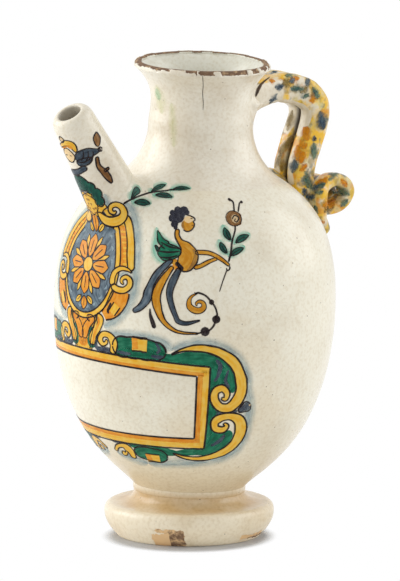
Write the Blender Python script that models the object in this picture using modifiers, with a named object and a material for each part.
"""Spouted maiolica jug: a thrown jar on a disc foot, with a bored spout and a twin-rod handle.

Each thrown, pulled or rolled piece of clay is one object. The origin is the centre of the flat base,
+Z is up, the spout points along -X and the handle along +X. Everything above the foot hangs on one
empty, which carries the slight lean that the jar took in the kiln.
"""
import bmesh
import bpy
from math import atan2, copysign, cos, pi, radians, sin
from mathutils import Matrix, Quaternion, Vector

# Driving dimensions, in metres and degrees

# Room left between pieces that are luted together
JOINT_GAP = 0.0003

# Lean of the jar on its foot, and the plan direction that it leans to
LEAN_ANGLE = 1.8
LEAN_HEADING = -38.0

# Disc foot
FOOT_BASE_RADIUS = 0.0392
FOOT_EDGE_RADIUS = 0.0463
FOOT_EDGE_HEIGHT = 0.0132
FOOT_RIM_INSET = 0.0044
FOOT_RIM_RISE = 0.0048
FOOT_STEM_RADIUS = 0.0303
FOOT_HEIGHT = 0.0250

# Rolled ring between the foot and the body
COLLAR_RADIUS = 0.0312
COLLAR_HEIGHT = 0.0034
COLLAR_ROLL = 0.0007
COLLAR_BORE_RADIUS = 0.0243

# Thrown body: its belly stands above its base, and its shoulder above the belly
BODY_BASE_RADIUS = 0.0310
BODY_BASE_ANGLE = 54.0
BELLY_RADIUS = 0.0767
BELLY_RISE = 0.1003
SHOULDER_RADIUS = 0.0452
SHOULDER_RISE = 0.0677
SHOULDER_ANGLE = 32.5
BODY_WALL = 0.0050
BODY_FLOOR = 0.0080
FLOOR_HOLLOW = 0.0080

# Thrown neck: its waist stands above the shoulder, and its rim above the waist
NECK_RADIUS = 0.0286
NECK_WAIST_RISE = 0.0288
RIM_RADIUS = 0.0371
RIM_RISE = 0.0351
RIM_ANGLE = 40.0
LIP_HEIGHT = 0.0030
LIP_WALL = 0.0036
LIP_ROUND = 0.0009

# Spout, with its axis meeting the body a little below the shoulder
SPOUT_ROOT_DROP = 0.0087
SPOUT_ANGLE = 56.5
SPOUT_LENGTH = 0.0607
SPOUT_ROOT_RADIUS = 0.0154
SPOUT_MOUTH_RADIUS = 0.0112
SPOUT_BORE_RADIUS = 0.0062
SPOUT_LIP_ROUND = 0.0016

# Fillet of clay round the spout's root
SPOUT_COLLAR_LENGTH = 0.0075
SPOUT_COLLAR_DEPTH = 0.0090
SPOUT_COLLAR_WIDTH = 0.0050
SPOUT_COLLAR_EDGE = 0.0008

# Handle's centre line: it leaves the neck below the rim, rises and runs to its crest, falls and runs
# to its back, comes in to a waist beside the shoulder and ends on the body
HANDLE_ROOT_DROP = 0.0201
HANDLE_CREST_RUN = 0.0253
HANDLE_CREST_RISE = 0.0028
HANDLE_BACK_RUN = 0.0223
HANDLE_BACK_FALL = 0.0160
HANDLE_WAIST_OUT = 0.0214
HANDLE_WAIST_RISE = 0.0008
HANDLE_FOOT_DROP = 0.0197
HANDLE_FOOT_BITE = 0.0008

# Sections of the handle: width across and thickness through
ARCH_ROOT_WIDTH = 0.0260
ARCH_ROOT_THICKNESS = 0.0195
ARCH_THICKNESS = 0.0166
STRAND_WIDTH = 0.0106
STRAND_THICKNESS = 0.0158
STRAND_SPACING = 0.0007
WAIST_SPACING = 0.0013
WAIST_THICKNESS = 0.0150
FOOT_THICKNESS = 0.0126

# Curl at the end of each strand
CURL_OUT = 0.0130
CURL_UP = 0.0032
CURL_HALF_LENGTH = 0.0122
CURL_HALF_RISE = 0.0090
CURL_DRIFT = 0.0093
FAR_CURL_HALF_LENGTH = 0.0095
CURL_WIDTH = 0.0085
CURL_THICKNESS = 0.0062
TAIL_DROP = 0.0225
TAIL_RUN = 0.0035
TAIL_WIDTH = 0.0050
TAIL_THICKNESS = 0.0036
CURL_FIRST_ANGLE = -100
CURL_LAST_ANGLE = 180
CURL_ANGLE_STEP = 35

# Smear of clay on the neck under the handle's root, and pad below the shoulder under its foot
ROOT_SMEAR_DROP = 0.0135
ROOT_SMEAR_HALF_LENGTH = 0.0185
ROOT_SMEAR_HALF_WIDTH = 0.0130
ROOT_SMEAR_RISE = 0.0042
PAD_DROP = 0.0087
PAD_HALF_LENGTH = 0.0130
PAD_HALF_WIDTH = 0.0160
PAD_RISE = 0.0075
CLAY_SINK = 0.0025

# Heights that the stacked pieces reach
BODY_BASE_HEIGHT = FOOT_HEIGHT + COLLAR_HEIGHT + JOINT_GAP
BELLY_HEIGHT = BODY_BASE_HEIGHT + BELLY_RISE
SHOULDER_HEIGHT = BELLY_HEIGHT + SHOULDER_RISE
NECK_WAIST_HEIGHT = SHOULDER_HEIGHT + NECK_WAIST_RISE
RIM_HEIGHT = NECK_WAIST_HEIGHT + RIM_RISE

# How full each stretch of the thrown outline is, as shares of that stretch's height; the foot's hollow top and
# its rolled rim have a share of their run as well
FOOT_TOP_FULLNESS = (0.75, 0.55)
FOOT_RIM_FULLNESS = (0.65, 0.60)
FOOT_SIDE_FULLNESS = (0.42, 0.25)
BODY_LOWER_FULLNESS = (0.115, 0.74)
BODY_UPPER_FULLNESS = (0.59, 0.32)
NECK_LOWER_FULLNESS = (0.52, 0.28)
NECK_UPPER_FULLNESS = (0.31, 0.56)

# How far the skirt of the spout's fillet eases out at its foot, as shares of its width
FILLET_EASE = (-0.5, 0.3)

# Where the arch is half way to its crest, as shares of its run and rise, and how much fuller it is there
ARCH_MIDDLE = (0.4, 0.72)
ARCH_FULLNESS = 1.04

# How far the handle's root dips inside the neck's wall, as a share of the arch's rise
ARCH_DIP = 0.5

# Facets
TURNED_STEPS = 36
SPOUT_STEPS = 24
BODY_OUTLINE_STEPS = 8
NECK_OUTLINE_STEPS = 6
FOOT_OUTLINE_STEPS = 6
STRAND_SIDES = 12
ARCH_SIDES = 16
ROUTE_STEPS = 4
ROLL_STEPS = 4
FILLET_STEPS = 5
PAD_SEGMENTS = 20
PAD_RINGS = 12
SECTION_SQUARENESS = 2.6
SHARP_ANGLE = 50.0

# Glaze colours, as linear red, green and blue
GLAZE_WHITE = (0.80, 0.74, 0.62)
GLAZE_WARM = (0.66, 0.52, 0.33)
GLAZE_YELLOW = (0.60, 0.33, 0.05)


def heading(angle):
    """Direction in an (across, up) plane at an angle from across, in degrees."""
    return Vector((cos(radians(angle)), sin(radians(angle))))


def bezier(start, start_arm, end_arm, end, count):
    """Points of a cubic from start to end; each arm is a vector from its own end."""
    start, end = Vector(start), Vector(end)
    first, second = start + start_arm, end + end_arm
    points = []
    for step in range(count + 1):
        t = step / count
        s = 1.0 - t
        points.append(s**3 * start + 3 * s * s * t * first + 3 * s * t * t * second + t**3 * end)
    return points


def offset_outline(outline, first_distance, last_distance=None):
    """Outline moved to its right-hand side, by a distance that may change from end to end."""
    if last_distance is None:
        last_distance = first_distance
    moved = []
    for index, point in enumerate(outline):
        before = outline[max(index - 1, 0)]
        after = outline[min(index + 1, len(outline) - 1)]
        along = (after - before).normalized()
        distance = first_distance + (last_distance - first_distance) * index / (len(outline) - 1)
        moved.append(point + Vector((along.y, -along.x)) * distance)
    return moved


def body_outline():
    """Outside of the body from its base up to the shoulder, as (radius, height)."""
    base = Vector((BODY_BASE_RADIUS, BODY_BASE_HEIGHT))
    belly = Vector((BELLY_RADIUS, BELLY_HEIGHT))
    shoulder = Vector((SHOULDER_RADIUS, SHOULDER_HEIGHT))
    up = Vector((0.0, 1.0))
    lower_height = belly.y - base.y
    upper_height = shoulder.y - belly.y
    lower = bezier(base, heading(BODY_BASE_ANGLE) * BODY_LOWER_FULLNESS[0] * lower_height,
                   -up * BODY_LOWER_FULLNESS[1] * lower_height, belly, BODY_OUTLINE_STEPS)
    upper = bezier(belly, up * BODY_UPPER_FULLNESS[0] * upper_height,
                   heading(-SHOULDER_ANGLE) * BODY_UPPER_FULLNESS[1] * upper_height, shoulder,
                   BODY_OUTLINE_STEPS)
    return lower + upper[1:]


def neck_outline():
    """Outside of the neck from the shoulder up to the foot of the lip, as (radius, height)."""
    shoulder = Vector((SHOULDER_RADIUS, SHOULDER_HEIGHT))
    waist = Vector((NECK_RADIUS, NECK_WAIST_HEIGHT))
    lip = Vector((RIM_RADIUS, RIM_HEIGHT - LIP_HEIGHT))
    up = Vector((0.0, 1.0))
    lower_height = waist.y - shoulder.y
    upper_height = lip.y - waist.y
    lower = bezier(shoulder, heading(180.0 - SHOULDER_ANGLE) * NECK_LOWER_FULLNESS[0] * lower_height,
                   -up * NECK_LOWER_FULLNESS[1] * lower_height, waist, NECK_OUTLINE_STEPS)
    upper = bezier(waist, up * NECK_UPPER_FULLNESS[0] * upper_height,
                   -heading(RIM_ANGLE) * NECK_UPPER_FULLNESS[1] * upper_height, lip, NECK_OUTLINE_STEPS)
    return lower + upper[1:]


def surface_at(outline, height):
    """Point of an outline at a height, and the outward normal there."""
    for low, high in zip(outline, outline[1:]):
        if low.y <= height <= high.y:
            along = (high - low).normalized()
            point = low.lerp(high, (height - low.y) / (high.y - low.y))
            return point, Vector((along.y, -along.x))
    raise ValueError(f"height {height} is off the outline")


def smooth_route(points, steps):
    """Points of a Catmull-Rom curve through the given vectors, of any size."""
    route = []
    for index in range(len(points) - 1):
        here, after = points[index], points[index + 1]
        before = points[index - 1] if index else here * 2 - after
        beyond = points[index + 2] if index + 2 < len(points) else after * 2 - here
        for step in range(steps):
            t = step / steps
            route.append(0.5 * (2 * here + (after - before) * t
                                + (2 * before - 5 * here + 4 * after - beyond) * t**2
                                + (3 * here - before - 3 * after + beyond) * t**3))
    route.append(points[-1].copy())
    return route


def make_material(name, colour, roughness):
    material = bpy.data.materials.new(name)
    material.use_nodes = True
    shader = material.node_tree.nodes["Principled BSDF"]
    shader.inputs["Base Color"].default_value = (*colour, 1.0)
    shader.inputs["Roughness"].default_value = roughness
    shader.inputs["Metallic"].default_value = 0.0
    return material


def add_object(name, mesh, collection, parent=None, location=(0.0, 0.0, 0.0)):
    piece = bpy.data.objects.new(name, mesh)
    collection.objects.link(piece)
    piece.parent = parent
    piece.location = location
    return piece


def as_cutter(piece):
    piece.hide_render = True
    piece.display_type = "WIRE"
    return piece


def cut(piece, *cutters):
    for cutter in cutters:
        modifier = piece.modifiers.new(f"cut_{cutter.name}", "BOOLEAN")
        modifier.operation = "DIFFERENCE"
        modifier.object = cutter


def turned_mesh(name, outline, closed):
    """Profile edges at +X for a Screw modifier, outer side running down."""
    mesh = bpy.data.meshes.new(name)
    edges = [(index, index + 1) for index in range(len(outline) - 1)]
    if closed:
        edges.append((len(outline) - 1, 0))
    mesh.from_pydata([(point[0], 0.0, point[1]) for point in outline], edges, [])
    return mesh


def turn(piece, steps):
    screw = piece.modifiers.new("turn", "SCREW")
    screw.axis = "Z"
    screw.steps = steps
    screw.render_steps = steps
    screw.use_merge_vertices = True
    screw.merge_threshold = 0.00001
    screw.use_smooth_shade = True


def directions(route):
    """Unit direction of travel at each point of a route."""
    points = [Vector(place[:3]) for place in route]
    ahead = points[1:] + points[-1:]
    behind = points[:1] + points[:-1]
    return [(after - before).normalized() for after, before in zip(ahead, behind)]


def loft_mesh(name, route, along_route, sides, grow=0.0):
    """Rod through stops of (x, y, z, width, thickness), its width lying along Y."""
    shape = bmesh.new()
    rings = []
    for place, along in zip(route, along_route):
        across = Vector((0.0, 1.0, 0.0))
        across = (across - along * across.dot(along)).normalized()
        through = along.cross(across)
        half_width = place[3] / 2 + grow
        half_thickness = place[4] / 2 + grow
        ring = []
        for side in range(sides):
            angle = 2 * pi * (side + 0.5) / sides
            width = copysign(abs(cos(angle)) ** (2 / SECTION_SQUARENESS), cos(angle)) * half_width
            depth = copysign(abs(sin(angle)) ** (2 / SECTION_SQUARENESS), sin(angle)) * half_thickness
            ring.append(shape.verts.new(Vector(place[:3]) + across * width + through * depth))
        rings.append(ring)
    for ring, following in zip(rings, rings[1:]):
        for side in range(sides):
            beside = (side + 1) % sides
            shape.faces.new((ring[side], ring[beside], following[beside], following[side]))
    shape.faces.new(reversed(rings[0]))
    shape.faces.new(rings[-1])
    bmesh.ops.recalc_face_normals(shape, faces=shape.faces)
    mesh = bpy.data.meshes.new(name)
    shape.to_mesh(mesh)
    shape.free()
    mesh.shade_smooth()
    mesh.set_sharp_from_angle(angle=radians(SHARP_ANGLE))
    return mesh


def stop(x, y, z, width, thickness):
    """One vector holding a point of a rod's route and its section there."""
    return Vector((x, y, z, width, thickness))


def make_seat(collection, jar):
    """Block above the foot, square to the leaning jar: it cuts the seat that the jar was set on."""
    shape = bmesh.new()
    bmesh.ops.create_cone(shape, cap_ends=True, segments=TURNED_STEPS, radius1=FOOT_EDGE_RADIUS,
                          radius2=FOOT_EDGE_RADIUS, depth=2 * FOOT_HEIGHT)
    bmesh.ops.translate(shape, vec=(0.0, 0.0, FOOT_HEIGHT), verts=shape.verts)
    mesh = bpy.data.meshes.new("jar_seat")
    shape.to_mesh(mesh)
    shape.free()
    return as_cutter(add_object("jar_seat", mesh, collection, jar[0]))


def make_foot(collection, glaze, seat):
    top = Vector((FOOT_STEM_RADIUS, FOOT_HEIGHT))
    edge = Vector((FOOT_EDGE_RADIUS, FOOT_EDGE_HEIGHT))
    base = Vector((FOOT_BASE_RADIUS, 0.0))
    up = Vector((0.0, 1.0))
    out = Vector((1.0, 0.0))
    rim = edge + up * FOOT_RIM_RISE - out * FOOT_RIM_INSET
    upper = bezier(top, -up * FOOT_TOP_FULLNESS[0] * (top.y - rim.y),
                   -out * FOOT_TOP_FULLNESS[1] * (rim.x - top.x), rim, FOOT_OUTLINE_STEPS)
    roll = bezier(rim, out * FOOT_RIM_FULLNESS[0] * FOOT_RIM_INSET, up * FOOT_RIM_FULLNESS[1] * FOOT_RIM_RISE,
                  edge, FOOT_OUTLINE_STEPS)
    side = bezier(edge, -up * FOOT_SIDE_FULLNESS[0] * edge.y,
                  Vector((1.0, 1.0)) * FOOT_SIDE_FULLNESS[1] * edge.y, base, FOOT_OUTLINE_STEPS)
    stem_top = FOOT_HEIGHT + 2 * FOOT_STEM_RADIUS * sin(radians(LEAN_ANGLE)) + JOINT_GAP
    outline = [(0.0, stem_top), (FOOT_STEM_RADIUS, stem_top), *upper, *roll[1:], *side[1:], (0.0, 0.0)]
    foot = add_object("foot", turned_mesh("foot", outline, closed=False), collection)
    turn(foot, TURNED_STEPS)
    cut(foot, seat)
    foot.data.materials.append(glaze)


def make_foot_collar(collection, glaze, jar):
    low = FOOT_HEIGHT + JOINT_GAP
    high = FOOT_HEIGHT + COLLAR_HEIGHT
    edge = COLLAR_RADIUS - COLLAR_ROLL
    bulge = Vector((COLLAR_ROLL * 4 / 3, 0.0))
    side = bezier((edge, high), bulge, bulge, (edge, low), ROLL_STEPS)
    outline = [*side, (COLLAR_BORE_RADIUS, low), (COLLAR_BORE_RADIUS, high)]
    collar = add_object("foot_collar", turned_mesh("foot_collar", outline, closed=True), collection, *jar)
    turn(collar, TURNED_STEPS)
    collar.data.materials.append(glaze)


def make_body(collection, glaze, jar, bore):
    outside = body_outline()
    inside = offset_outline(outside, -BODY_WALL)
    floor_height = BODY_BASE_HEIGHT + BODY_FLOOR
    inside = [point for point in inside if point.y > floor_height]
    spigot_radius = COLLAR_BORE_RADIUS - JOINT_GAP
    seat_height = FOOT_HEIGHT + JOINT_GAP
    outline = [(0.0, floor_height), (inside[0].x - FLOOR_HOLLOW, floor_height), *inside, *reversed(outside),
               (spigot_radius, outside[0].y), (spigot_radius, seat_height), (0.0, seat_height)]
    body = add_object("body", turned_mesh("body", outline, closed=False), collection, *jar)
    turn(body, TURNED_STEPS)
    cut(body, bore)
    body.data.materials.append(glaze)


def make_neck(collection, glaze, jar):
    outside = neck_outline()
    along = (outside[1] - outside[0]).normalized()
    inside = offset_outline(outside, -BODY_WALL, -LIP_WALL)
    outside[0] = outside[0] + along * JOINT_GAP
    inside[0] = inside[0] + along * JOINT_GAP
    lip = [(RIM_RADIUS - LIP_WALL + LIP_ROUND, RIM_HEIGHT), (RIM_RADIUS - LIP_ROUND, RIM_HEIGHT),
           (RIM_RADIUS, RIM_HEIGHT - LIP_ROUND)]
    inner_lip = (RIM_RADIUS - LIP_WALL, RIM_HEIGHT - LIP_ROUND)
    outline = [*lip, *reversed(outside), *inside[:-1], inner_lip]
    neck = add_object("neck", turned_mesh("neck", outline, closed=True), collection, *jar)
    turn(neck, TURNED_STEPS)
    neck.data.materials.append(glaze)


def make_envelope(collection, jar):
    """Outside of body and neck, grown by the joint gap: it trims whatever is luted to them."""
    outline = offset_outline(body_outline() + neck_outline()[1:], JOINT_GAP)
    top = outline[-1].y + LIP_HEIGHT
    profile = [(0.0, top), (outline[-1].x, top), *reversed(outline), (0.0, outline[0].y)]
    envelope = add_object("jar_envelope", turned_mesh("jar_envelope", profile, closed=False), collection,
                          *jar)
    turn(envelope, TURNED_STEPS)
    return as_cutter(envelope)


def spout_placement(parent):
    """Parent, place and turn of the spout: its own Z runs out along the bore."""
    root = surface_at(body_outline(), SHOULDER_HEIGHT - SPOUT_ROOT_DROP)[0]
    location = (-root.x, 0.0, root.y - FOOT_HEIGHT)
    return parent, location, (0.0, radians(SPOUT_ANGLE - 90.0), 0.0)


def spout_radius(distance):
    """Outside radius of the spout at a distance along it from its root."""
    return SPOUT_ROOT_RADIUS + (SPOUT_MOUTH_RADIUS - SPOUT_ROOT_RADIUS) * distance / SPOUT_LENGTH


def make_spout_bore(collection, placement):
    """Hole through the body's wall, in line with the spout's bore."""
    shape = bmesh.new()
    bmesh.ops.create_cone(shape, cap_ends=True, segments=SPOUT_STEPS, radius1=SPOUT_BORE_RADIUS,
                          radius2=SPOUT_BORE_RADIUS, depth=SPOUT_LENGTH)
    mesh = bpy.data.meshes.new("spout_bore")
    shape.to_mesh(mesh)
    shape.free()
    bore = add_object("spout_bore", mesh, collection, placement[0], placement[1])
    bore.rotation_euler = placement[2]
    return as_cutter(bore)


def make_spout(collection, glaze, placement, envelope):
    sunk = -SPOUT_ROOT_RADIUS
    rounded = SPOUT_LENGTH - SPOUT_LIP_ROUND
    outline = [(SPOUT_BORE_RADIUS + SPOUT_LIP_ROUND, SPOUT_LENGTH),
               (SPOUT_MOUTH_RADIUS - SPOUT_LIP_ROUND, SPOUT_LENGTH),
               (SPOUT_MOUTH_RADIUS, rounded), (spout_radius(SPOUT_LENGTH / 2), SPOUT_LENGTH / 2),
               (spout_radius(0.0), 0.0), (spout_radius(sunk), sunk), (SPOUT_BORE_RADIUS, sunk),
               (SPOUT_BORE_RADIUS, rounded)]
    spout = add_object("spout", turned_mesh("spout", outline, closed=True), collection, *placement[:2])
    spout.rotation_euler = placement[2]
    turn(spout, SPOUT_STEPS)
    cut(spout, envelope)
    spout.data.materials.append(glaze)


def make_spout_collar(collection, glaze, placement, envelope):
    sunk = -SPOUT_ROOT_RADIUS
    top = Vector((spout_radius(SPOUT_COLLAR_LENGTH) + JOINT_GAP + SPOUT_COLLAR_EDGE, SPOUT_COLLAR_LENGTH))
    foot = Vector((spout_radius(0.0) + SPOUT_COLLAR_WIDTH, -SPOUT_COLLAR_DEPTH))
    skirt = bezier(top, Vector((0.0, -1.0)) * SPOUT_COLLAR_LENGTH, Vector(FILLET_EASE) * SPOUT_COLLAR_WIDTH,
                   foot, FILLET_STEPS)
    outline = [*skirt, (foot.x, sunk), (spout_radius(sunk) + JOINT_GAP, sunk),
               (top.x - SPOUT_COLLAR_EDGE, SPOUT_COLLAR_LENGTH)]
    collar = add_object("spout_collar", turned_mesh("spout_collar", outline, closed=True), collection,
                        *placement[:2])
    collar.rotation_euler = placement[2]
    turn(collar, SPOUT_STEPS)
    cut(collar, envelope)
    collar.data.materials.append(glaze)


def handle_root():
    """Point of the neck's outside that the handle leaves, as (reach, height)."""
    return surface_at(neck_outline(), RIM_HEIGHT - HANDLE_ROOT_DROP)[0]


def arch_stops(side):
    """Broad upper stretch, from inside the neck's wall towards the crest, where the rods part."""
    y = side * (STRAND_WIDTH + STRAND_SPACING) / 2
    pair_width = 2 * STRAND_WIDTH + STRAND_SPACING
    root = handle_root()
    middle = root + Vector((ARCH_MIDDLE[0] * HANDLE_CREST_RUN, ARCH_MIDDLE[1] * HANDLE_CREST_RISE))
    return [stop(root.x - BODY_WALL, y, root.y - ARCH_DIP * HANDLE_CREST_RISE,
                 ARCH_ROOT_WIDTH, ARCH_ROOT_THICKNESS),
            stop(middle.x, y, middle.y, pair_width * ARCH_FULLNESS, ARCH_THICKNESS * ARCH_FULLNESS)]


def drop_stops(side, top_width, low_width):
    """From the crest over the back and down to the foot on the shoulder."""
    top_y = side * (STRAND_WIDTH + STRAND_SPACING) / 2
    low_y = side * (STRAND_WIDTH + WAIST_SPACING) / 2
    half = sin(pi / 4)
    crest = handle_root() + Vector((HANDLE_CREST_RUN, HANDLE_CREST_RISE))
    back = crest + Vector((HANDLE_BACK_RUN, -HANDLE_BACK_FALL))
    waist = Vector((SHOULDER_RADIUS + HANDLE_WAIST_OUT, SHOULDER_HEIGHT + HANDLE_WAIST_RISE))
    foot = handle_foot()
    return [stop(crest.x, top_y, crest.y, top_width, ARCH_THICKNESS),
            stop(crest.x + half * HANDLE_BACK_RUN, top_y, back.y + half * HANDLE_BACK_FALL,
                 top_width, STRAND_THICKNESS),
            stop(back.x, top_y, back.y, top_width, STRAND_THICKNESS),
            stop(waist.x, low_y, waist.y, low_width, WAIST_THICKNESS),
            stop(foot.x, low_y, foot.y, low_width, FOOT_THICKNESS)]


def handle_foot():
    """Centre of the rods where they are pressed on the shoulder, as (reach, height)."""
    point, normal = surface_at(body_outline(), SHOULDER_HEIGHT - HANDLE_FOOT_DROP)
    return point + normal * (FOOT_THICKNESS / 2 - HANDLE_FOOT_BITE)


def curl_stops(side, width, last_angle, size):
    """Turn of a flattened helix that runs out from the foot, up and back, drifting sideways."""
    foot = handle_foot()
    y = side * (STRAND_WIDTH + WAIST_SPACING) / 2
    stops = []
    for angle in range(CURL_FIRST_ANGLE, last_angle + 1, CURL_ANGLE_STEP):
        share = (angle - CURL_FIRST_ANGLE) / (CURL_LAST_ANGLE - CURL_FIRST_ANGLE)
        stops.append(stop(foot.x + size * (CURL_OUT + CURL_HALF_LENGTH * cos(radians(angle))),
                          y + side * CURL_DRIFT * share,
                          foot.y + size * (CURL_UP + CURL_HALF_RISE * sin(radians(angle))),
                          width, CURL_THICKNESS))
    return stops


def tail_stops(last, size):
    """End of a rod, which crosses its own curl and hangs down in a point."""
    x, y, z = last[:3]
    return [stop(x, y, z - size * TAIL_DROP / 2, CURL_WIDTH, CURL_THICKNESS),
            stop(x + size * TAIL_RUN, y, z - size * TAIL_DROP, TAIL_WIDTH, TAIL_THICKNESS)]


def arch_route():
    """Stops and directions of the broad stretch, up to the crest."""
    pair_width = 2 * STRAND_WIDTH + STRAND_SPACING
    stops = arch_stops(0)
    crest = len(stops) * ROUTE_STEPS
    route = smooth_route(stops + drop_stops(0, pair_width, pair_width), ROUTE_STEPS)
    return route[:crest + 1], directions(route)[:crest + 1]


def strand_route(side, curl_size):
    """Stops and directions of one rod, from the crest to the end of its tail."""
    upper = arch_stops(side)
    crest = len(upper) * ROUTE_STEPS
    drop = drop_stops(side, STRAND_WIDTH, STRAND_WIDTH)
    curl = curl_stops(side, CURL_WIDTH, CURL_LAST_ANGLE, curl_size)
    route = smooth_route(upper + drop + curl + tail_stops(curl[-1], curl_size), ROUTE_STEPS)
    along_route = directions(route)[crest:]
    route = route[crest:]
    route[0] = stop(*(Vector(route[0][:3]) + along_route[0] * JOINT_GAP), *route[0][3:])
    return route, along_route


def pair_route():
    """Both rods from the crest to the curl, as one broad bar."""
    top_width = 2 * STRAND_WIDTH + STRAND_SPACING
    low_width = 2 * STRAND_WIDTH + WAIST_SPACING
    curl = curl_stops(0, low_width, CURL_FIRST_ANGLE + CURL_ANGLE_STEP, 1.0)
    route = smooth_route(drop_stops(0, top_width, low_width) + curl, ROUTE_STEPS)
    return route, directions(route)


def make_rod(name, route, sides, collection, glaze, jar, envelope):
    rod = add_object(name, loft_mesh(name, *route, sides), collection, *jar)
    cut(rod, envelope)
    rod.data.materials.append(glaze)


def make_rod_envelope(name, route, sides, collection, jar):
    """A rod grown by the joint gap, to trim the clay that it is pressed into."""
    mesh = loft_mesh(name, *route, sides, JOINT_GAP)
    return as_cutter(add_object(name, mesh, collection, *jar))


def make_clay_pad(name, surface, half_length, half_width, rise, collection, glaze, jar, trims):
    """Low mound pressed on the jar at a point of its outline."""
    point, normal = surface
    centre = point - normal * CLAY_SINK
    shape = bmesh.new()
    bmesh.ops.create_uvsphere(shape, u_segments=PAD_SEGMENTS, v_segments=PAD_RINGS, radius=1.0)
    half_segment = Matrix.Rotation(pi / PAD_SEGMENTS, 3, "Z")
    bmesh.ops.rotate(shape, cent=(0.0, 0.0, 0.0), matrix=half_segment, verts=shape.verts)
    bmesh.ops.scale(shape, vec=(half_length, half_width, rise + CLAY_SINK), verts=shape.verts)
    mesh = bpy.data.meshes.new(name)
    shape.to_mesh(mesh)
    shape.free()
    mesh.shade_smooth()
    parent, origin = jar
    pad = add_object(name, mesh, collection, parent, (centre.x, 0.0, centre.y + origin[2]))
    pad.rotation_euler = (0.0, pi / 2 - atan2(normal.y, normal.x), 0.0)
    cut(pad, *trims)
    pad.data.materials.append(glaze)


def clear_scene():
    for old in list(bpy.data.objects):
        bpy.data.objects.remove(old)


def main():
    clear_scene()
    parts = bpy.data.collections.new("maiolica_jug")
    cutters = bpy.data.collections.new("cutters")
    for collection in (parts, cutters):
        bpy.context.scene.collection.children.link(collection)

    lean = bpy.data.objects.new("jar_lean", None)
    parts.objects.link(lean)
    lean.location = (0.0, 0.0, FOOT_HEIGHT)
    lean_direction = heading(LEAN_HEADING)
    lean.rotation_mode = "QUATERNION"
    lean.rotation_quaternion = Quaternion((-lean_direction.y, lean_direction.x, 0.0), radians(LEAN_ANGLE))
    jar = (lean, (0.0, 0.0, -FOOT_HEIGHT))

    spout_place = spout_placement(lean)
    envelope = make_envelope(cutters, jar)
    bore = make_spout_bore(cutters, spout_place)
    seat = make_seat(cutters, jar)
    make_foot(parts, make_material("foot_glaze", GLAZE_WARM, 0.35), seat)
    make_foot_collar(parts, make_material("collar_glaze", GLAZE_WARM, 0.35), jar)
    make_body(parts, make_material("body_glaze", GLAZE_WHITE, 0.30), jar, bore)
    make_neck(parts, make_material("neck_glaze", GLAZE_WHITE, 0.30), jar)
    make_spout(parts, make_material("spout_glaze", GLAZE_WHITE, 0.30), spout_place, envelope)
    make_spout_collar(parts, make_material("spout_collar_glaze", GLAZE_WHITE, 0.30), spout_place, envelope)

    arch = arch_route()
    near, pair = strand_route(-1, 1.0), pair_route()
    far = strand_route(1, FAR_CURL_HALF_LENGTH / CURL_HALF_LENGTH)
    make_rod("handle_arch", arch, ARCH_SIDES, parts, make_material("arch_glaze", GLAZE_YELLOW, 0.30),
             jar, envelope)
    make_rod("handle_strand_near", near, STRAND_SIDES, parts,
             make_material("near_strand_glaze", GLAZE_YELLOW, 0.30), jar, envelope)
    make_rod("handle_strand_far", far, STRAND_SIDES, parts,
             make_material("far_strand_glaze", GLAZE_YELLOW, 0.30), jar, envelope)
    arch_trim = make_rod_envelope("arch_envelope", arch, ARCH_SIDES, cutters, jar)
    pad_trims = [make_rod_envelope("pair_envelope", pair, STRAND_SIDES, cutters, jar),
                 make_rod_envelope("near_envelope", near, STRAND_SIDES, cutters, jar),
                 make_rod_envelope("far_envelope", far, STRAND_SIDES, cutters, jar)]
    make_clay_pad("handle_root", surface_at(neck_outline(), handle_root().y - ROOT_SMEAR_DROP),
                  ROOT_SMEAR_HALF_LENGTH, ROOT_SMEAR_HALF_WIDTH, ROOT_SMEAR_RISE, parts,
                  make_material("root_glaze", GLAZE_WHITE, 0.30), jar, [envelope, arch_trim])
    make_clay_pad("handle_pad", surface_at(body_outline(), SHOULDER_HEIGHT - PAD_DROP),
                  PAD_HALF_LENGTH, PAD_HALF_WIDTH, PAD_RISE, parts,
                  make_material("pad_glaze", GLAZE_YELLOW, 0.30), jar, [envelope, *pad_trims])


main()
